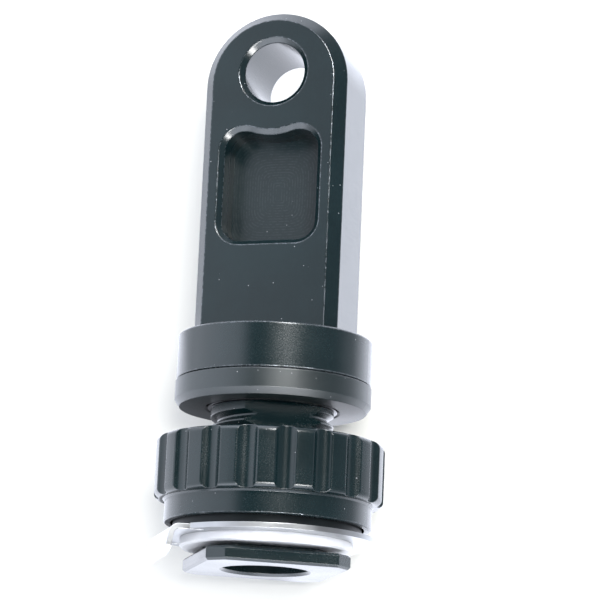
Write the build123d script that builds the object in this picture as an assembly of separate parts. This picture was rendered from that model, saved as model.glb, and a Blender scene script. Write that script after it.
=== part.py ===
from build123d import *
import math
import os

# Swivel shoe mount: a flat post with a cross hole turns on a collar, which is keyed to a threaded
# stud on a square accessory-shoe foot. A fluted nut drives a bright lock plate down onto the shoe.
# Millimetres, +Z up the post, bore along Y, foot resting on Z = 0.

# ---- foot and stud ----
FOOT_SIDE = 18.6
FOOT_T = 1.8
FOOT_CORNER = 2.0
FOOT_EDGE = 0.3
FOOT_TURN = 31.0
CBORE_R = 5.5
CBORE_TOP = 13.6
STUD_BORE_R = 3.2
STUD_TOP = 22.2
STUD_FLAT = 6.2
THREAD_R = 7.95
THREAD_PITCH = 1.5
THREAD_DEPTH = 0.85
THREAD_START = 4.6
THREAD_END = 20.2
GROOVE_R = 7.45

# ---- clamp nut ----
NUT_R = 14.75
NUT_Z0 = 8.6
NUT_Z1 = 16.5
NUT_BORE_R = 8.05
NUT_ROUND = 0.85
FLUTE_COUNT = 19
FLUTE_R = 1.5
FLUTE_DEPTH = 0.75
FLUTE_ROUND = 0.4
FLUTE_PHASE = -83.3
SKIRT_R = 13.3
SKIRT_Z0 = 5.6
SKIRT_EDGE = 0.15
SKIRT_FLARE = 0.25
RECESS_R = 12.45
RECESS_TOP = 7.0

# ---- pad and lock plate ----
PAD_R = 12.1
PAD_HOLE_R = 8.4
PAD_TOP = 6.95
PLATE_Z0 = 3.72
PLATE_T = 0.65
PLATE_R = 14.1
PLATE_HOLE_R = 8.15
PLATE_FLAT = 6.3
TAB_W = 14.4
TAB_LENGTH = 2.65
TAB_SPLAY = 10.0
TAB_CORNER = 1.3
BEND_X = -12.7
BEND_R = 1.4
RELIEF_W = 0.8
RELIEF_IN = 10.1

# ---- shoe pad ----
SHOE_PAD_R = 11.1
SHOE_PAD_Z0 = 2.5

# ---- collar ----
COLLAR_R = 12.7
COLLAR_Z0 = 20.75
COLLAR_Z1 = 24.08
COLLAR_BEVEL = 0.86
COLLAR_MOUTH_R = 8.5
COLLAR_MOUTH_TOP = 21.35
COLLAR_KEY_TOP = 22.4
SEAT_R = 11.6
SEAT_Z = 23.18
SPIGOT_R = 6.0
SPIGOT_BORE_R = 6.06
SPIGOT_Z0 = 22.5

# ---- post ----
POST_W = 19.3
POST_T = 12.24
FLANGE_R = 12.6
FLANGE_Z0 = 24.18
FLANGE_Z1 = 30.05
FLANGE_EDGE = 0.2
ARC_Z = 63.48
HOLE_Z = 64.76
HOLE_R = 4.06
HOLE_BEVEL = 0.65
BEVEL_FACE = 1.38
BEVEL_SIDE = 1.66
POCKET_HALF_W = 6.35
POCKET_Z0 = 42.15
POCKET_CORNER_R = 2.5
POCKET_HUMP_X = 3.7
POCKET_HUMP_R = 2.65
POCKET_DIP_R = 8.48
POCKET_DEPTH = 4.6
POCKET_BEVEL = 0.65

# ---- pivot screw and its washers ----
SCREW_R = 3.0
SCREW_TAP_R = 3.05
SCREW_TOP = 34.0
SCREW_HEAD_R = 5.0
SCREW_HEAD_Z0 = 4.2
SCREW_HEAD_H = 6.0
SOCKET_AF = 5.0
SPRING_T = 0.7
SPRING_RISE = 0.5
SPRING_R = 5.3
FLAT_WASHER_T = 1.0


def disc(radius, z0, z1):
    """Cylinder about Z between two heights."""
    return Pos(0, 0, (z0 + z1) / 2) * Cylinder(radius, z1 - z0)


def block(x0, x1, y0, y1, z0, z1):
    """Box between two corners."""
    centre = Pos((x0 + x1) / 2, (y0 + y1) / 2, (z0 + z1) / 2)
    return centre * Box(x1 - x0, y1 - y0, z1 - z0)


def double_d(radius, flat, z0, z1):
    """Round bar with two flats facing -Y and +Y."""
    return disc(radius, z0, z1) & block(-radius, radius, -flat, flat, z0, z1)


def turned(points):
    """Solid of revolution about Z from radius and height pairs."""
    return revolve(Plane.XZ * make_face(Polyline(*points, close=True)), Axis.Z)


def foot_turned(shape):
    """Turn a shape from the foot's own axes to its resting angle."""
    return Rot(0, 0, FOOT_TURN) * shape


def make_foot_stud():
    half = FOOT_SIDE / 2
    foot = block(-half, half, -half, half, 0, FOOT_T)
    foot = chamfer(foot.edges().filter_by(Axis.Z), FOOT_CORNER)
    foot = chamfer(foot.faces().sort_by(Axis.Z)[0].outer_wire().edges(), FOOT_EDGE)
    foot = chamfer(foot.faces().sort_by(Axis.Z)[-1].outer_wire().edges(), FOOT_EDGE)
    root = THREAD_R - THREAD_DEPTH
    rod = disc(THREAD_R, FOOT_T - 0.5, STUD_TOP)
    turns_up = THREAD_END - THREAD_START
    helix = Helix(THREAD_PITCH, turns_up, THREAD_R)
    mouth = THREAD_PITCH / 2 - 0.1
    tip = 0.12
    start = helix @ 0
    across = Plane(origin=start, x_dir=(1, 0, 0), z_dir=helix % 0)
    section = Polyline(
        (0.3, -mouth - 0.17), (0.3, mouth + 0.17), (-THREAD_DEPTH, tip), (-THREAD_DEPTH, -tip),
        close=True,
    )
    groove = sweep(across * make_face(section), path=helix, is_frenet=True)
    rod -= Pos(0, 0, THREAD_START) * groove
    rod -= disc(THREAD_R + 1, 20.7, COLLAR_MOUTH_TOP) - disc(GROOVE_R, 20.7, COLLAR_MOUTH_TOP)
    rod &= block(-9, 9, -STUD_FLAT, STUD_FLAT, 0, STUD_TOP)
    body = foot + rod
    body -= disc(CBORE_R, -1, CBORE_TOP)
    body -= disc(STUD_BORE_R, 0, STUD_TOP + 1)
    body -= turned([(0, -0.2), (CBORE_R + 0.55, -0.2), (CBORE_R - 0.1, 0.45), (0, 0.45)])
    return foot_turned(body)


def make_clamp_nut():
    outline = Circle(NUT_R)
    spot = NUT_R + FLUTE_R - FLUTE_DEPTH
    for i in range(FLUTE_COUNT):
        angle = FLUTE_PHASE + 360 / FLUTE_COUNT * i
        outline -= Rot(0, 0, angle) * Pos(spot, 0) * Circle(FLUTE_R)
    outline = fillet(outline.vertices(), FLUTE_ROUND)
    rounded = disc(NUT_R, NUT_Z0, NUT_Z1)
    rounded = fillet(rounded.edges().filter_by(GeomType.CIRCLE), NUT_ROUND)
    grip = Pos(0, 0, NUT_Z0) * extrude(outline, NUT_Z1 - NUT_Z0) & rounded
    skirt = turned([
        (0, SKIRT_Z0),
        (SKIRT_R - SKIRT_EDGE, SKIRT_Z0),
        (SKIRT_R, SKIRT_Z0 + SKIRT_EDGE),
        (SKIRT_R, NUT_Z0 - SKIRT_FLARE),
        (SKIRT_R + SKIRT_FLARE, NUT_Z0),
        (0, NUT_Z0),
    ])
    nut = grip + skirt
    nut -= disc(RECESS_R, SKIRT_Z0 - 1, RECESS_TOP)
    nut -= disc(NUT_BORE_R, SKIRT_Z0, NUT_Z1 + 1)
    lip = NUT_BORE_R + 0.6
    nut -= turned([(0, NUT_Z1 - 0.6), (NUT_BORE_R, NUT_Z1 - 0.6), (lip, NUT_Z1), (lip, NUT_Z1 + 1), (0, NUT_Z1 + 1)])
    return nut


def make_pressure_pad():
    low = PLATE_Z0 + PLATE_T
    return turned([
        (PAD_HOLE_R, low),
        (PAD_R - 0.3, low),
        (PAD_R, low + 0.3),
        (PAD_R, PAD_TOP),
        (PAD_HOLE_R, PAD_TOP),
    ])


def tab_profile():
    """Side view of the bent tab on the XZ plane, from inside the plate out to its splayed end."""
    top = PLATE_Z0 + PLATE_T
    turn = math.radians(90 - TAB_SPLAY)
    centre_z = top - BEND_R

    def on_bend(radius, angle):
        return (BEND_X - radius * math.sin(angle), centre_z + radius * math.cos(angle))

    inner_r = BEND_R - PLATE_T
    run = (-TAB_LENGTH * math.cos(turn), -TAB_LENGTH * math.sin(turn))
    outer_end = on_bend(BEND_R, turn)
    inner_end = on_bend(inner_r, turn)
    outer_tip = (outer_end[0] + run[0], outer_end[1] + run[1])
    inner_tip = (inner_end[0] + run[0], inner_end[1] + run[1])
    inside = BEND_X + 2.0
    return make_face([
        Line((inside, top), (BEND_X, top)),
        ThreePointArc((BEND_X, top), on_bend(BEND_R, turn / 2), outer_end),
        Line(outer_end, outer_tip),
        Line(outer_tip, inner_tip),
        Line(inner_tip, inner_end),
        ThreePointArc(inner_end, on_bend(inner_r, turn / 2), (BEND_X, PLATE_Z0)),
        Line((BEND_X, PLATE_Z0), (inside, PLATE_Z0)),
        Line((inside, PLATE_Z0), (inside, top)),
    ])


def make_lock_plate():
    top = PLATE_Z0 + PLATE_T
    half = TAB_W / 2
    plate = disc(PLATE_R, PLATE_Z0, top)
    plate &= block(BEND_X, PLATE_R, -PLATE_R, PLATE_R, PLATE_Z0, top)
    plate += block(BEND_X, -RELIEF_IN, -half, half, PLATE_Z0, top)
    tab = extrude(Plane.XZ * tab_profile(), half, both=True)
    corners = tab.edges().filter_by(lambda e: abs(e.length - PLATE_T) < 0.01)
    corners = corners.group_by(Axis.Z)[0]
    plate += fillet(corners, TAB_CORNER)
    for side in (-1, 1):
        y = side * (half + RELIEF_W / 2)
        slot = block(-PLATE_R - 1, -RELIEF_IN, y - RELIEF_W / 2, y + RELIEF_W / 2, PLATE_Z0 - 1, top + 1)
        plate -= slot
        plate -= Pos(-RELIEF_IN, y, 0) * disc(RELIEF_W / 2, PLATE_Z0 - 1, top + 1)
    plate -= double_d(PLATE_HOLE_R, PLATE_FLAT, PLATE_Z0 - 1, top + 1)
    return foot_turned(plate)


def make_shoe_pad():
    pad = turned([
        (0, SHOE_PAD_Z0),
        (SHOE_PAD_R - 0.25, SHOE_PAD_Z0),
        (SHOE_PAD_R, SHOE_PAD_Z0 + 0.25),
        (SHOE_PAD_R, PLATE_Z0),
        (0, PLATE_Z0),
    ])
    return foot_turned(pad - double_d(PLATE_HOLE_R, PLATE_FLAT, SHOE_PAD_Z0 - 1, PLATE_Z0 + 1))


def make_collar():
    profile = [
        (COLLAR_MOUTH_R + 0.3, COLLAR_Z0),
        (COLLAR_R - 0.6, COLLAR_Z0),
        (COLLAR_R, COLLAR_Z0 + COLLAR_BEVEL),
        (COLLAR_R, COLLAR_Z1 - 0.12),
        (COLLAR_R - 0.12, COLLAR_Z1),
        (SEAT_R, COLLAR_Z1),
        (SEAT_R, SEAT_Z),
        (SPIGOT_BORE_R, SEAT_Z),
        (SPIGOT_BORE_R, COLLAR_KEY_TOP),
        (2.0, COLLAR_KEY_TOP),
        (2.0, COLLAR_MOUTH_TOP),
        (COLLAR_MOUTH_R, COLLAR_MOUTH_TOP),
        (COLLAR_MOUTH_R, COLLAR_Z0 + 0.3),
    ]
    collar = turned(profile)
    key = double_d(THREAD_R + 0.08, STUD_FLAT + 0.08, COLLAR_MOUTH_TOP - 1, COLLAR_KEY_TOP + 0.01)
    return collar - foot_turned(key)


def make_snap_ring():
    ring = disc(COLLAR_MOUTH_R - 0.12, 20.78, 21.3) - disc(GROOVE_R + 0.03, 20.7, 21.4)
    gap = Rot(0, 0, 75) * block(0, 10, -2.2, 2.2, 20, 22)
    return ring - gap


def pocket_outline():
    """Pocket outline on the XZ plane: round lower corners, two humps and a dip under the hole."""
    reach = POCKET_HUMP_R + POCKET_DIP_R
    drop = math.sqrt(reach ** 2 - POCKET_HUMP_X ** 2)
    hump_z = HOLE_Z - drop
    touch_x = POCKET_HUMP_X * POCKET_DIP_R / reach
    touch_z = HOLE_Z - drop * POCKET_DIP_R / reach
    low = POCKET_Z0 + POCKET_CORNER_R
    inset = POCKET_HALF_W - POCKET_CORNER_R
    lead = math.radians(30)
    edges = []
    for s in (-1, 1):
        hump_mid = (
            s * (POCKET_HUMP_X + POCKET_HUMP_R * math.sin(lead)),
            hump_z + POCKET_HUMP_R * math.cos(lead),
        )
        corner_mid = (
            s * (inset + POCKET_CORNER_R * math.sqrt(0.5)),
            low - POCKET_CORNER_R * math.sqrt(0.5),
        )
        edges.append(ThreePointArc((s * touch_x, touch_z), hump_mid, (s * POCKET_HALF_W, hump_z)))
        edges.append(Line((s * POCKET_HALF_W, hump_z), (s * POCKET_HALF_W, low)))
        edges.append(ThreePointArc((s * POCKET_HALF_W, low), corner_mid, (s * inset, POCKET_Z0)))
    dip = (0, HOLE_Z - POCKET_DIP_R)
    edges.append(ThreePointArc((-touch_x, touch_z), dip, (touch_x, touch_z)))
    edges.append(Line((-inset, POCKET_Z0), (inset, POCKET_Z0)))
    return make_face(edges)


def make_post():
    half = POST_W / 2
    slab = block(-half, half, -POST_T / 2, POST_T / 2, FLANGE_Z1 - 1, ARC_Z)
    slab += Pos(0, 0, ARC_Z) * Rot(90, 0, 0) * Cylinder(half, POST_T)
    for side in (-1, 1):
        face = slab.faces().sort_by(Axis.Y)[0 if side < 0 else -1]
        rim = [e for e in face.edges() if e.center().Z > FLANGE_Z1]
        slab = chamfer(rim, BEVEL_FACE, BEVEL_SIDE, reference=face)
    slab -= Pos(0, 0, HOLE_Z) * Rot(90, 0, 0) * Cylinder(HOLE_R, POST_T + 2)
    outline = pocket_outline()
    for side in (-1, 1):
        tool = extrude(Plane.XZ * outline, POCKET_DEPTH + 1)
        if side < 0:
            tool = Pos(0, -POST_T / 2 + POCKET_DEPTH, 0) * tool
        else:
            tool = Pos(0, POST_T / 2 + 1, 0) * tool
        slab -= tool
        face = slab.faces().sort_by(Axis.Y)[0 if side < 0 else -1]
        wires = sorted(face.inner_wires(), key=lambda w: w.center().Z)
        slab = chamfer(wires[0].edges(), POCKET_BEVEL)
        face = slab.faces().sort_by(Axis.Y)[0 if side < 0 else -1]
        wires = sorted(face.inner_wires(), key=lambda w: w.center().Z)
        slab = chamfer(wires[-1].edges(), HOLE_BEVEL)
    base = turned([
        (0, SPIGOT_Z0),
        (SPIGOT_R - 0.3, SPIGOT_Z0),
        (SPIGOT_R, SPIGOT_Z0 + 0.3),
        (SPIGOT_R, FLANGE_Z0),
        (FLANGE_R - 0.12, FLANGE_Z0),
        (FLANGE_R, FLANGE_Z0 + 0.12),
        (FLANGE_R, FLANGE_Z1 - FLANGE_EDGE),
        (FLANGE_R - FLANGE_EDGE, FLANGE_Z1),
        (0, FLANGE_Z1),
    ])
    post = slab + base
    post -= disc(SCREW_TAP_R, SPIGOT_Z0 - 1, SCREW_TOP + 1.5)
    return post


def make_swivel_washer():
    return disc(SEAT_R - 0.1, SEAT_Z, FLANGE_Z0) - disc(SPIGOT_R + 0.4, SEAT_Z - 1, FLANGE_Z0 + 1)


def make_pivot_screw():
    head_top = SCREW_HEAD_Z0 + SCREW_HEAD_H
    screw = turned([
        (0, SCREW_HEAD_Z0),
        (SCREW_HEAD_R - 0.5, SCREW_HEAD_Z0),
        (SCREW_HEAD_R, SCREW_HEAD_Z0 + 0.5),
        (SCREW_HEAD_R, head_top),
        (SCREW_R, head_top),
        (SCREW_R, SCREW_TOP - 0.6),
        (SCREW_R - 0.6, SCREW_TOP),
        (0, SCREW_TOP),
    ])
    socket = extrude(RegularPolygon(SOCKET_AF / 2, 6, major_radius=False), 3.0)
    return screw - Pos(0, 0, SCREW_HEAD_Z0) * socket


def make_spring_washer(z0, cone_up):
    """Conical spring washer sitting at z0, its hole raised or its rim raised."""
    inner = z0 + (SPRING_RISE if cone_up else 0)
    outer = z0 + (0 if cone_up else SPRING_RISE)
    return turned([
        (SCREW_R + 0.1, inner),
        (SPRING_R, outer),
        (SPRING_R, outer + SPRING_T),
        (SCREW_R + 0.1, inner + SPRING_T),
    ])


def make_screw_washer():
    low = CBORE_TOP - FLAT_WASHER_T
    return disc(SPRING_R, low, CBORE_TOP) - disc(SCREW_R + 0.1, low - 1, CBORE_TOP + 1)


spring_z = SCREW_HEAD_Z0 + SCREW_HEAD_H
spring_h = SPRING_T + SPRING_RISE
parts = {
    "post": make_post(),
    "collar": make_collar(),
    "swivel_washer": make_swivel_washer(),
    "snap_ring": make_snap_ring(),
    "foot_stud": make_foot_stud(),
    "clamp_nut": make_clamp_nut(),
    "pressure_pad": make_pressure_pad(),
    "lock_plate": make_lock_plate(),
    "shoe_pad": make_shoe_pad(),
    "pivot_screw": make_pivot_screw(),
    "spring_washer_lower": make_spring_washer(spring_z, False),
    "spring_washer_upper": make_spring_washer(spring_z + spring_h, True),
    "screw_washer": make_screw_washer(),
}

os.makedirs("parts", exist_ok=True)
for name, shape in parts.items():
    export_step(shape, f"parts/{name}.step")
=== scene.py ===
"""Looks for the swivel shoe mount: anodised post, collar, fluted nut, bright lock plate and shoe foot.

Metres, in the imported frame: +Z up the post, -Y out of the front pocket face.
"""
import math

import bpy
from mathutils import Matrix, Vector

MM = 0.001

# camera: below the object's waist, a little to its right, with a slight roll
VIEW_AZ = 17.68
VIEW_EL = -12.60
VIEW_ROLL = 2.52
VIEW_DISTANCE = 348.7 * MM
VIEW_LENS = 161.0
VIEW_AIM = Vector((3.13, -0.18, 35.35)) * MM

# the object
POST_T = 12.24 * MM
POCKET_DEPTH = 4.6 * MM
POCKET_MID_Z = 49.5 * MM
POCKET_HALF = 7.6 * MM
POCKET_HALF_TALL = 8.0 * MM
FLANGE_TOP = 30.1 * MM
NUT_R = 14.75 * MM
SKIRT_RIM = 5.8 * MM

# light
LIGHT_DISTANCE = 0.60
TABLE_GAP = 1.0 * MM
TABLE_SIZE = 2.0
# strength of the table's painted glow as reflections see it; the table is no lamp
TABLE_PAINTED_GLOW = 2.5
WHITE = (0.96, 1.0, 1.12)
AMBIENT = 1.25
# from a bearing (degrees, 0 straight in front, positive to the right) to another, radiance added
TENT_BEARINGS = [
    (-8.0, -27.0, 1.75),
    (-30.0, -60.0, 0.28),
    (50.0, 66.0, 0.24),
    (85.0, 125.0, 0.8),
]
# from a height (sine of the elevation) to another, radiance added
TENT_HEIGHTS = [
    (0.55, 0.90, 0.45),
    (-0.60, -0.92, 4.6),
]
TENT_TOP = 3.2
# spans of direction over which the sides fade out, the top comes in and the top stops at the right
TENT_SIDE_FADE = (0.95, 0.60)
TENT_TOP_RISE = (0.60, 0.92)
TENT_TOP_SIDE = (0.40, 0.0)

# the table's painted glow as reflections see it: x where it has faded and x where it is full (mm), share
# left
TABLE_GLOW_FADES = [
    (44, 20, 0.30),
    (140, 50, 0.45),
    (-60, -25, 0.92),
]
# painted shadow rectangles on that glow: x from and to, z from and to, soft edge (mm), share left
TABLE_PAINTED_SHADOWS = [
    (-9, 7, 30, 51, 3, 0.15),
    (-20, -4, 1, 28, 4, 0.12),
    (-2000, -28, 42, 2000, 5, 0.68),
    (-20, 2000, 90, 2000, 8, 0.72),
]
# the painted pool of light, a glow on the table seen through the post's hole: x, z, full radius and outer
# radius (mm), strength
HOLE_PAINTED_LIGHT = (-5.2, 68.4, 3.0, 7.5, 0.35)

# anodised skin: linear colours, and the scales of its grain per metre
DYE = (0.0010, 0.0085, 0.0100)
DYE_CLOUD = (0.0018, 0.0115, 0.0135)
DYE_GRIT = (0.005, 0.015, 0.017)
CUTTER_TINT = (0.030, 0.038, 0.043)
# light exposed-metal tint for the edges: partly real abrasion, partly a painted edge highlight
RUBBED_AND_HIGHLIGHT_TINT = (0.30, 0.32, 0.35)
DUST_TINT = (0.26, 0.27, 0.28)
FINE_SCALE = 5200.0
GRIT_SCALE = 4300.0
CLOUD_SCALE = 120.0
RUB_SCALE = 3200.0
DUST_SIZE = 0.12
DUST_SCALE = 1500.0
# how much the skirt's bottom rim turns to light exposed metal, partly real abrasion and mostly a painted
# highlight line, and how much more the post's right corners are scuffed near the flange
RIM_PAINTED_HIGHLIGHT = 0.75
CORNER_WEAR = 0.12
# how far a grain is drawn out along the way it was cut
DRAWN_OUT = 0.05
# depths below the post's face between which the pocket's edges turn from rounded to sharp
SHARP_FROM = 2.5 * MM
SHARP_FULL = 3.2 * MM
# spacing of the cutter's rings on the pocket floor, the straight halves and the squareness of a ring,
# and the scale of the dots along it
MARK_STEP = 0.36 * MM
MARK_FLAT = 0.3 * MM
MARK_FLAT_TALL = 0.9 * MM
MARK_SQUARENESS = 4.0
MARK_GRAIN = 3600.0

# other finishes: scales per metre, and metres that a radian counts for in lathe lines
ROLLING_SCALE = 7000.0
SMEAR_SCALE = 260.0
LATHE_SCALE = 8000.0
LATHE_TURN = 0.0004
STEEL_SCALE = 400.0
FLOW_SCALE = 180.0
SKIN_SCALE = 11000.0
PAPER_SCALE = 40.0
STAINLESS = (0.35, 0.36, 0.37)
STAINLESS_LIGHT = (0.42, 0.43, 0.44)
STAINLESS_EDGE = (0.32, 0.33, 0.34)
PAPER = (0.80, 0.79, 0.73)
PAPER_LIGHT = (0.83, 0.82, 0.76)


class Nodes:
    """Small helper that adds and links shader nodes in one material."""

    def __init__(self, name):
        self.material = bpy.data.materials.new(name)
        self.material.use_nodes = True
        self.tree = self.material.node_tree
        self.shader = self.tree.nodes["Principled BSDF"]

    def add(self, kind, **settings):
        node = self.tree.nodes.new(kind)
        for key, value in settings.items():
            setattr(node, key, value)
        return node

    def link(self, source, target):
        self.tree.links.new(source, target)

    def feed(self, socket, value):
        if isinstance(value, bpy.types.NodeSocket):
            self.link(value, socket)
        else:
            socket.default_value = value

    def math(self, operation, a, b=0.0):
        node = self.add("ShaderNodeMath", operation=operation)
        self.feed(node.inputs[0], a)
        self.feed(node.inputs[1], b)
        return node.outputs[0]

    def product(self, *values):
        """Multiply any number of values."""
        total = values[0]
        for value in values[1:]:
            total = self.math("MULTIPLY", total, value)
        return total

    def length(self, a, b):
        """Length of the vector (a, b)."""
        return self.math("SQRT", self.math("ADD", self.math("MULTIPLY", a, a), self.math("MULTIPLY", b, b)))

    def place(self):
        """Object coordinates as X, Y and Z sockets, in metres."""
        coords = self.add("ShaderNodeTexCoord")
        split = self.add("ShaderNodeSeparateXYZ")
        self.link(coords.outputs["Object"], split.inputs[0])
        return split.outputs

    def vector(self, x, y, z):
        node = self.add("ShaderNodeCombineXYZ")
        for socket, value in zip(node.inputs, (x, y, z)):
            self.feed(socket, value)
        return node.outputs[0]

    def noise(self, vector, scale, detail=2.0, rough=0.5):
        node = self.add("ShaderNodeTexNoise")
        self.link(vector, node.inputs["Vector"])
        node.inputs["Scale"].default_value = scale
        node.inputs["Detail"].default_value = detail
        node.inputs["Roughness"].default_value = rough
        return node.outputs["Fac"]

    def span(self, value, low, high, out_low=0.0, out_high=1.0, smooth=True):
        """Map a value from one span to another, held at both ends."""
        node = self.add("ShaderNodeMapRange")
        node.interpolation_type = "SMOOTHSTEP" if smooth else "LINEAR"
        self.feed(node.inputs["Value"], value)
        self.feed(node.inputs["From Min"], low)
        self.feed(node.inputs["From Max"], high)
        self.feed(node.inputs["To Min"], out_low)
        self.feed(node.inputs["To Max"], out_high)
        return node.outputs["Result"]

    def mix(self, factor, a, b):
        node = self.add("ShaderNodeMix", data_type="RGBA")
        self.feed(node.inputs["Factor"], factor)
        for socket, value in ((node.inputs[6], a), (node.inputs[7], b)):
            if isinstance(value, bpy.types.NodeSocket):
                self.link(value, socket)
            else:
                socket.default_value = (*value, 1.0)
        return node.outputs[2]

    def blend(self, factor, a, b):
        """Mix two directions."""
        node = self.add("ShaderNodeMix", data_type="VECTOR")
        self.feed(node.inputs["Factor"], factor)
        self.link(a, node.inputs[4])
        self.link(b, node.inputs[5])
        return node.outputs[1]

    def bump(self, height, distance, strength, normal=None):
        node = self.add("ShaderNodeBump")
        self.link(height, node.inputs["Height"])
        node.inputs["Distance"].default_value = distance
        node.inputs["Strength"].default_value = strength
        if normal is not None:
            self.link(normal, node.inputs["Normal"])
        return node.outputs["Normal"]

    def edge_mask(self, radius):
        """1 on sharp edges, from how far a bevelled normal leans from the face's own, and that normal."""
        bevel = self.add("ShaderNodeBevel", samples=8)
        bevel.inputs["Radius"].default_value = radius
        geometry = self.add("ShaderNodeNewGeometry")
        dot = self.add("ShaderNodeVectorMath", operation="DOT_PRODUCT")
        self.link(bevel.outputs["Normal"], dot.inputs[0])
        self.link(geometry.outputs["True Normal"], dot.inputs[1])
        return self.span(dot.outputs["Value"], 0.995, 0.93), bevel.outputs["Normal"]


def turned_vector(n, xyz):
    """Radius, a slow turn about Z and height, for lathe lines round the axis."""
    angle = n.math("ARCTAN2", xyz[1], xyz[0])
    return n.vector(n.length(xyz[0], xyz[1]), n.math("MULTIPLY", angle, LATHE_TURN), xyz[2])


def dust(n, point):
    """Sparse light specks of lint."""
    cells = n.add("ShaderNodeTexVoronoi")
    n.link(point, cells.inputs["Vector"])
    cells.inputs["Scale"].default_value = DUST_SCALE
    pick = n.add("ShaderNodeSeparateColor")
    n.link(cells.outputs["Color"], pick.inputs[0])
    chosen = n.span(pick.outputs[0], 0.90, 0.97)
    return n.math("MULTIPLY", n.span(cells.outputs["Distance"], DUST_SIZE, DUST_SIZE * 0.55), chosen)


def anodised(name, roughness=0.22, blasted=0.0, soft=0.30, ior=1.57, wear_and_highlight=0.15,
             rim=None, flange=None, pocket=False):
    """Black anodised aluminium: a dark blue-green dyed skin with the machining grain showing through.

    blasted is the height of the bead-blasted grit, soft the edges' radius in mm and wear_and_highlight how
    much light exposed metal the edges get, partly real abrasion and partly a painted edge highlight.
    Below the height rim the edges get more of it, mostly a painted highlight line along the skirt's bottom
    edge.
    Above the height flange the skin is milled, not blasted.
    """
    n = Nodes(name)
    xyz = n.place()
    point = n.vector(*xyz)
    if flange is not None:
        fine = n.noise(n.vector(xyz[0], n.math("MULTIPLY", xyz[1], DRAWN_OUT), xyz[2]), FINE_SCALE, 3.0, 0.6)
        matte = n.span(xyz[2], flange + 0.3 * MM, flange, 0.0, blasted)
    else:
        fine = n.noise(point, FINE_SCALE, 2.0, 0.6)
        matte = blasted
    cloud = n.noise(point, CLOUD_SCALE, 3.0, 0.55)
    grit = n.noise(point, GRIT_SCALE, 2.0, 0.55)
    grit_height = n.math("MULTIPLY", grit, n.math("ADD", matte, 0.25))
    height = n.math("ADD", n.math("MULTIPLY", fine, 0.42), grit_height)
    edge, soft_normal = n.edge_mask(soft * MM)
    if pocket:
        rise = n.math("SUBTRACT", xyz[2], POCKET_MID_Z)
        deep = n.product(
            n.span(n.math("ABSOLUTE", xyz[1]), POST_T / 2 - SHARP_FROM, POST_T / 2 - SHARP_FULL),
            n.span(rise, POCKET_HALF_TALL + 0.4 * MM, POCKET_HALF_TALL),
            within_pocket(n, xyz),
        )
        soft_normal = n.blend(deep, soft_normal, n.add("ShaderNodeNewGeometry").outputs["Normal"])
        edge = n.math("MULTIPLY", edge, n.math("SUBTRACT", 1.0, deep))
    rubbed_and_highlight_noise = n.noise(point, RUB_SCALE, 2.0)
    if flange is not None:
        low = n.span(xyz[2], flange + 9 * MM, flange + 1 * MM)
        low = n.math("MULTIPLY", low, n.span(xyz[0], 6 * MM, 8 * MM))
        rubbed_and_highlight_noise = n.math("ADD", rubbed_and_highlight_noise, n.math("MULTIPLY", low, CORNER_WEAR))
    # below the rim height the edges get more exposed metal: mostly a painted highlight line along the
    # skirt's bottom edge
    if rim is not None:
        wear_and_highlight = n.span(xyz[2], rim + 0.5 * MM, rim, wear_and_highlight, RIM_PAINTED_HIGHLIGHT)
    # edges turned to light exposed metal: partly real abrasion, partly a painted edge highlight
    worn_and_highlight_edges = n.math("MULTIPLY", edge, n.span(rubbed_and_highlight_noise, 0.42, 0.66))
    bare_and_highlight = n.math("MULTIPLY", worn_and_highlight_edges, wear_and_highlight)
    specks = dust(n, point)
    colour = n.mix(n.span(cloud, 0.35, 0.7), DYE, DYE_CLOUD)
    colour = n.mix(n.span(grit, 0.45, 0.8, 0.0, 0.6), colour, DYE_GRIT)
    if pocket:
        colour = n.mix(pocket_marks(n, xyz), colour, CUTTER_TINT)
    # mix in the painted edge highlight, which is partly real abrasion
    colour = n.mix(bare_and_highlight, colour, RUBBED_AND_HIGHLIGHT_TINT)
    colour = n.mix(specks, colour, DUST_TINT)
    rough = n.span(cloud, 0.3, 0.7, roughness - 0.015, roughness + 0.02)
    rough = n.math("ADD", rough, n.span(fine, 0.3, 0.7, -0.02, 0.02))
    if flange is not None:
        rough = n.math("ADD", rough, n.math("MULTIPLY", matte, 0.03))
    if pocket:
        rough = n.math("ADD", rough, n.math("MULTIPLY", deep, 0.10))
    rough = n.math("MAXIMUM", rough, n.math("MULTIPLY", specks, 0.9))
    n.link(colour, n.shader.inputs["Base Color"])
    n.link(rough, n.shader.inputs["Roughness"])
    n.link(bare_and_highlight, n.shader.inputs["Metallic"])
    n.link(n.bump(height, 0.007 * MM, 0.6, soft_normal), n.shader.inputs["Normal"])
    n.shader.inputs["IOR"].default_value = ior
    return n.material


def within_pocket(n, xyz):
    """1 between the pocket's two side walls, 0 out at the post's own sides."""
    return n.span(n.math("ABSOLUTE", xyz[0]), POCKET_HALF + 0.4 * MM, POCKET_HALF)


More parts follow.
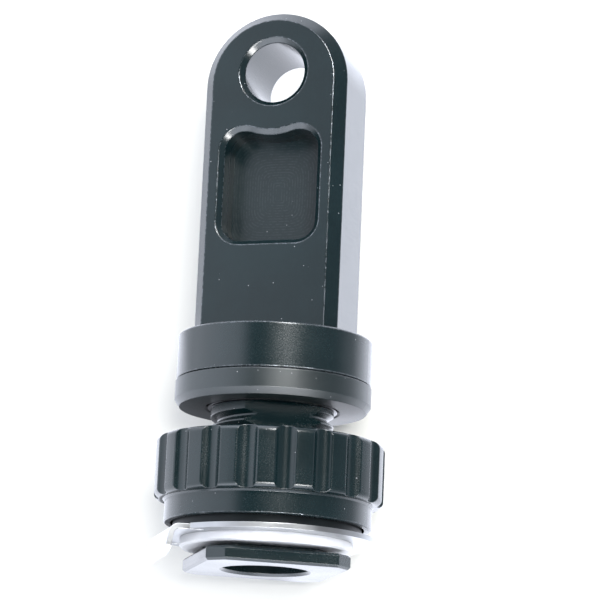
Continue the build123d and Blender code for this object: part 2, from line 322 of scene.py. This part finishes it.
def pocket_marks(n, xyz):
    """Cutter marks on the two pocket floors, rows of dots in rings that follow the pocket's outline."""
    deep = POST_T / 2 - POCKET_DEPTH
    floor = n.span(n.math("ABSOLUTE", xyz[1]), deep + 0.10 * MM, deep + 0.05 * MM)
    rise = n.math("SUBTRACT", xyz[2], POCKET_MID_Z)
    side_out = n.math("MAXIMUM", n.math("SUBTRACT", n.math("ABSOLUTE", xyz[0]), MARK_FLAT), 0.0)
    rise_out = n.math("MAXIMUM", n.math("SUBTRACT", n.math("ABSOLUTE", rise), MARK_FLAT_TALL), 0.0)
    side_power = n.math("POWER", side_out, MARK_SQUARENESS)
    rise_power = n.math("POWER", rise_out, MARK_SQUARENESS)
    reach = n.math("POWER", n.math("ADD", side_power, rise_power), 1 / MARK_SQUARENESS)
    rings = n.math("SINE", n.math("MULTIPLY", reach, 2 * math.pi / MARK_STEP))
    grains = n.span(n.noise(n.vector(*xyz), MARK_GRAIN, 1.0), 0.38, 0.60)
    return n.product(n.span(rings, 0.0, 1.0, 0.0, 0.40), grains, floor, within_pocket(n, xyz))


def stainless(name, roughness):
    """Polished stainless steel with fine rolling lines and soft patches of lighter colour and roughness."""
    n = Nodes(name)
    xyz = n.place()
    lines = n.noise(n.vector(xyz[0], n.math("MULTIPLY", xyz[1], DRAWN_OUT), xyz[2]), ROLLING_SCALE, 3.0, 0.6)
    patch = n.noise(n.vector(*xyz), SMEAR_SCALE, 3.0)
    edge, soft_normal = n.edge_mask(0.07 * MM)
    colour = n.mix(n.span(patch, 0.35, 0.7), STAINLESS, STAINLESS_LIGHT)
    colour = n.mix(n.math("MULTIPLY", edge, 0.2), colour, STAINLESS_EDGE)
    rough = n.span(patch, 0.3, 0.7, roughness - 0.03, roughness + 0.06)
    rough = n.math("ADD", rough, n.span(lines, 0.3, 0.7, -0.02, 0.03))
    n.link(colour, n.shader.inputs["Base Color"])
    n.link(rough, n.shader.inputs["Roughness"])
    n.shader.inputs["Metallic"].default_value = 1.0
    n.link(n.bump(lines, 0.0010 * MM, 0.15, soft_normal), n.shader.inputs["Normal"])
    return n.material


def plastic(name, dark, light, roughness, ior=1.5, clear=0.0):
    """Moulded plastic with a faint flow pattern and a fine matte skin."""
    n = Nodes(name)
    xyz = n.place()
    flow = n.noise(n.vector(*xyz), FLOW_SCALE, 4.0, 0.6)
    skin = n.noise(n.vector(*xyz), SKIN_SCALE, 2.0)
    n.link(n.mix(n.span(flow, 0.3, 0.7), dark, light), n.shader.inputs["Base Color"])
    n.link(n.span(skin, 0.3, 0.7, roughness - 0.05, roughness + 0.07), n.shader.inputs["Roughness"])
    n.link(n.bump(skin, 0.004 * MM, 0.5), n.shader.inputs["Normal"])
    n.shader.inputs["IOR"].default_value = ior
    n.shader.inputs["Subsurface Weight"].default_value = clear
    n.shader.inputs["Subsurface Radius"].default_value = (1.0, 1.0, 1.0)
    n.shader.inputs["Subsurface Scale"].default_value = 1.5 * MM
    return n.material


def steel(name, colour, roughness):
    """Turned or ground steel with lines round the axis."""
    n = Nodes(name)
    xyz = n.place()
    lines = n.noise(turned_vector(n, xyz), LATHE_SCALE, 3.0, 0.6)
    patch = n.noise(n.vector(*xyz), STEEL_SCALE, 3.0)
    lighter = tuple(min(1.0, c * 1.35) for c in colour)
    n.link(n.mix(n.span(patch, 0.3, 0.7), colour, lighter), n.shader.inputs["Base Color"])
    n.link(n.span(lines, 0.3, 0.7, roughness - 0.05, roughness + 0.08), n.shader.inputs["Roughness"])
    n.shader.inputs["Metallic"].default_value = 1.0
    n.link(n.bump(lines, 0.003 * MM, 0.5), n.shader.inputs["Normal"])
    return n.material


def dress(nodes):
    """Give every CAD node its finish."""
    finishes = {
        "post": anodised(
            "post_black_anodised", blasted=1.1, soft=0.26, wear_and_highlight=0.65, flange=FLANGE_TOP, pocket=True,
        ),
        "collar": anodised("collar_blasted_anodised", roughness=0.39, blasted=0.8, soft=0.14, ior=1.64),
        "clamp_nut": anodised(
            "nut_black_anodised", roughness=0.25, blasted=0.25, soft=0.14, ior=1.52, rim=SKIRT_RIM,
        ),
        "foot_stud": anodised("stud_black_anodised", roughness=0.25, blasted=0.1, soft=0.10),
        "pressure_pad": plastic(
            "pad_black_nylon", (0.004, 0.006, 0.007), (0.008, 0.011, 0.012), 0.42, ior=1.28,
        ),
        "shoe_pad": plastic(
            "shoe_pad_white_nylon", (0.58, 0.59, 0.61), (0.66, 0.67, 0.69), 0.42, clear=0.7,
        ),
        "swivel_washer": plastic("washer_white_acetal", (0.78, 0.78, 0.76), (0.85, 0.85, 0.83), 0.40),
        "lock_plate": stainless("plate_polished_stainless", 0.34),
        "snap_ring": steel("ring_dark_spring_steel", (0.16, 0.16, 0.17), 0.30),
        "pivot_screw": steel("screw_black_oxide", (0.045, 0.046, 0.050), 0.38),
        "spring_washer_lower": steel("lower_spring_steel", (0.36, 0.36, 0.38), 0.30),
        "spring_washer_upper": steel("upper_spring_steel", (0.36, 0.36, 0.38), 0.30),
        "screw_washer": steel("screw_washer_steel", (0.45, 0.45, 0.47), 0.28),
    }
    for name, material in finishes.items():
        slots = nodes[name].data.materials
        if len(slots) == 0:
            slots.append(material)
        for i in range(len(slots)):
            slots[i] = material


def make_table():
    """The pale surface behind the object, clear from the back; reflections see it as a painted glow with
    painted shadow where the object lies, and a painted pool of light glows behind the post's hole.
    """
    near = NUT_R + TABLE_GAP
    half = TABLE_SIZE / 2
    corners = [(-half, near, -half), (half, near, -half), (half, near, half), (-half, near, half)]
    mesh = bpy.data.meshes.new("pale_table")
    mesh.from_pydata(corners, [], [(0, 1, 2, 3)])
    table = bpy.data.objects.new("pale_table", mesh)
    bpy.context.collection.objects.link(table)
    n = Nodes("pale_table_paper_painted_glow")
    xyz = n.place()
    paper = n.noise(n.vector(*xyz), PAPER_SCALE, 3.0)
    n.link(n.mix(paper, PAPER, PAPER_LIGHT), n.shader.inputs["Base Color"])
    n.shader.inputs["Roughness"].default_value = 0.8
    n.shader.inputs["Specular IOR Level"].default_value = 0.1

    # painted pool of light: the table glows in a soft round spot behind the post's hole
    spot_x, spot_z, spot_full, spot_out, spot_strength = HOLE_PAINTED_LIGHT
    across = n.math("SUBTRACT", xyz[0], spot_x * MM)
    up = n.math("SUBTRACT", xyz[2], spot_z * MM)
    painted_light_spot = n.span(n.length(across, up), spot_out * MM, spot_full * MM, 0.0, spot_strength)
    n.shader.inputs["Emission Color"].default_value = (*WHITE, 1.0)
    n.link(painted_light_spot, n.shader.inputs["Emission Strength"])

    # painted glow that only reflections see, faded at the sides and given painted shadows where the object
    # lies
    gloss = TABLE_PAINTED_GLOW
    for faded, full, left in TABLE_GLOW_FADES:
        gloss = n.math("MULTIPLY", n.span(xyz[0], faded * MM, full * MM, left, 1.0), gloss)
    for x_from, x_to, z_from, z_to, soft, left in TABLE_PAINTED_SHADOWS:
        inside = n.product(
            n.span(xyz[0], (x_from - soft) * MM, x_from * MM),
            n.span(xyz[0], (x_to + soft) * MM, x_to * MM),
            n.span(xyz[2], (z_from - soft) * MM, z_from * MM),
            n.span(xyz[2], (z_to + soft) * MM, z_to * MM),
        )
        gloss = n.math("MULTIPLY", gloss, n.span(inside, 0.0, 1.0, 1.0, left, smooth=False))
    glow_seen_in_reflections = n.add("ShaderNodeEmission")
    glow_seen_in_reflections.inputs["Color"].default_value = (*WHITE, 1.0)
    n.link(gloss, glow_seen_in_reflections.inputs["Strength"])
    path = n.add("ShaderNodeLightPath")
    seen = n.add("ShaderNodeMixShader")
    n.link(path.outputs["Is Glossy Ray"], seen.inputs[0])
    n.link(n.shader.outputs[0], seen.inputs[1])
    n.link(glow_seen_in_reflections.outputs[0], seen.inputs[2])
    clear = n.add("ShaderNodeBsdfTransparent")
    side = n.add("ShaderNodeNewGeometry")
    blend = n.add("ShaderNodeMixShader")
    n.link(side.outputs["Backfacing"], blend.inputs[0])
    n.link(seen.outputs[0], blend.inputs[1])
    n.link(clear.outputs[0], blend.inputs[2])
    n.link(blend.outputs[0], n.tree.nodes["Material Output"].inputs["Surface"])
    mesh.materials.append(n.material)


def make_world():
    """A white tent: bright to the left, above and below, dark round the camera and to the right."""
    world = bpy.data.worlds.new("white_tent")
    bpy.context.scene.world = world
    world.use_nodes = True
    tree = world.node_tree
    coords = tree.nodes.new("ShaderNodeTexCoord")
    split = tree.nodes.new("ShaderNodeSeparateXYZ")
    tree.links.new(coords.outputs["Generated"], split.inputs[0])

    def math_node(operation, a, b):
        node = tree.nodes.new("ShaderNodeMath")
        node.operation = operation
        for socket, value in zip(node.inputs, (a, b)):
            if isinstance(value, bpy.types.NodeSocket):
                tree.links.new(value, socket)
            else:
                socket.default_value = value
        return node.outputs[0]

    def ramp(value, start, end, amount):
        node = tree.nodes.new("ShaderNodeMapRange")
        node.interpolation_type = "SMOOTHSTEP"
        tree.links.new(value, node.inputs["Value"])
        node.inputs["From Min"].default_value = start
        node.inputs["From Max"].default_value = end
        node.inputs["To Max"].default_value = amount
        return node.outputs["Result"]

    bearing = math_node("ARCTAN2", split.outputs[0], math_node("MULTIPLY", split.outputs[1], -1.0))
    total = 0.0
    for start, end, amount in TENT_BEARINGS:
        total = math_node("ADD", ramp(bearing, math.radians(start), math.radians(end), amount), total)
    steep = math_node("ABSOLUTE", split.outputs[2], 0.0)
    total = math_node("MULTIPLY", total, ramp(steep, *TENT_SIDE_FADE, 1.0))
    for start, end, amount in TENT_HEIGHTS:
        total = math_node("ADD", ramp(split.outputs[2], start, end, amount), total)
    top = ramp(split.outputs[2], *TENT_TOP_RISE, TENT_TOP)
    total = math_node("ADD", total, math_node("MULTIPLY", top, ramp(split.outputs[0], *TENT_TOP_SIDE, 1.0)))
    path = tree.nodes.new("ShaderNodeLightPath")
    glossy = path.outputs["Is Glossy Ray"]
    level = math_node("SUBTRACT", AMBIENT, math_node("MULTIPLY", glossy, AMBIENT))
    back = tree.nodes["Background"]
    back.inputs["Color"].default_value = (*WHITE, 1.0)
    tree.links.new(math_node("ADD", math_node("MULTIPLY", total, glossy), level), back.inputs["Strength"])


def make_light(name, bearing, height, width, tall, radiance, matte=True, gloss=True):
    """Rectangular soft light aimed at the object, placed by bearing and height in degrees."""
    out = Vector((
        math.sin(math.radians(bearing)) * math.cos(math.radians(height)),
        -math.cos(math.radians(bearing)) * math.cos(math.radians(height)),
        math.sin(math.radians(height)),
    ))
    data = bpy.data.lights.new(name, "AREA")
    data.shape = "RECTANGLE"
    data.size = width
    data.size_y = tall
    data.energy = radiance * math.pi * width * tall
    light = bpy.data.objects.new(name, data)
    bpy.context.collection.objects.link(light)
    light.location = VIEW_AIM + out * LIGHT_DISTANCE
    light.rotation_euler = (-out).to_track_quat("-Z", "Y").to_euler()
    light.visible_diffuse = matte
    light.visible_glossy = gloss


def make_camera():
    azimuth, elevation, roll = (math.radians(a) for a in (VIEW_AZ, VIEW_EL, VIEW_ROLL))
    back = Vector((
        math.sin(azimuth) * math.cos(elevation),
        -math.cos(azimuth) * math.cos(elevation),
        math.sin(elevation),
    ))
    level = (-back).cross(Vector((0, 0, 1))).normalized()
    upright = level.cross(-back)
    right = level * math.cos(roll) + upright * math.sin(roll)
    up = upright * math.cos(roll) - level * math.sin(roll)
    data = bpy.data.cameras.new("camera")
    data.lens = VIEW_LENS
    data.sensor_width = 36.0
    data.clip_start = 0.01
    data.clip_end = 20.0
    camera = bpy.data.objects.new("camera", data)
    bpy.context.collection.objects.link(camera)
    turn = Matrix((right, up, back)).transposed().to_4x4()
    camera.matrix_world = Matrix.Translation(VIEW_AIM + back * VIEW_DISTANCE) @ turn
    bpy.context.scene.camera = camera


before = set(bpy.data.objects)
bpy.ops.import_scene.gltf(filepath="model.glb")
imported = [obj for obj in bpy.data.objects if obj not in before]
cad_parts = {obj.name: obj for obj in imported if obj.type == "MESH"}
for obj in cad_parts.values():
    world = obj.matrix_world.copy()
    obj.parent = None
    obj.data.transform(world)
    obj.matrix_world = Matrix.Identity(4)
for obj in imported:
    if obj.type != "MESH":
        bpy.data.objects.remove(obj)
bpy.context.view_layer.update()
dress(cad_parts)
make_table()
make_world()
make_light("softbox", bearing=32.0, height=35.0, width=0.17, tall=0.29, radiance=48.0, matte=False)
make_light("low_card", bearing=35.0, height=-37.0, width=0.50, tall=0.12, radiance=36.0, matte=False)
make_light("fill", bearing=27.0, height=2.0, width=0.22, tall=0.22, radiance=22.0, gloss=False)
make_camera()
bpy.context.scene.view_settings.view_transform = "Standard"
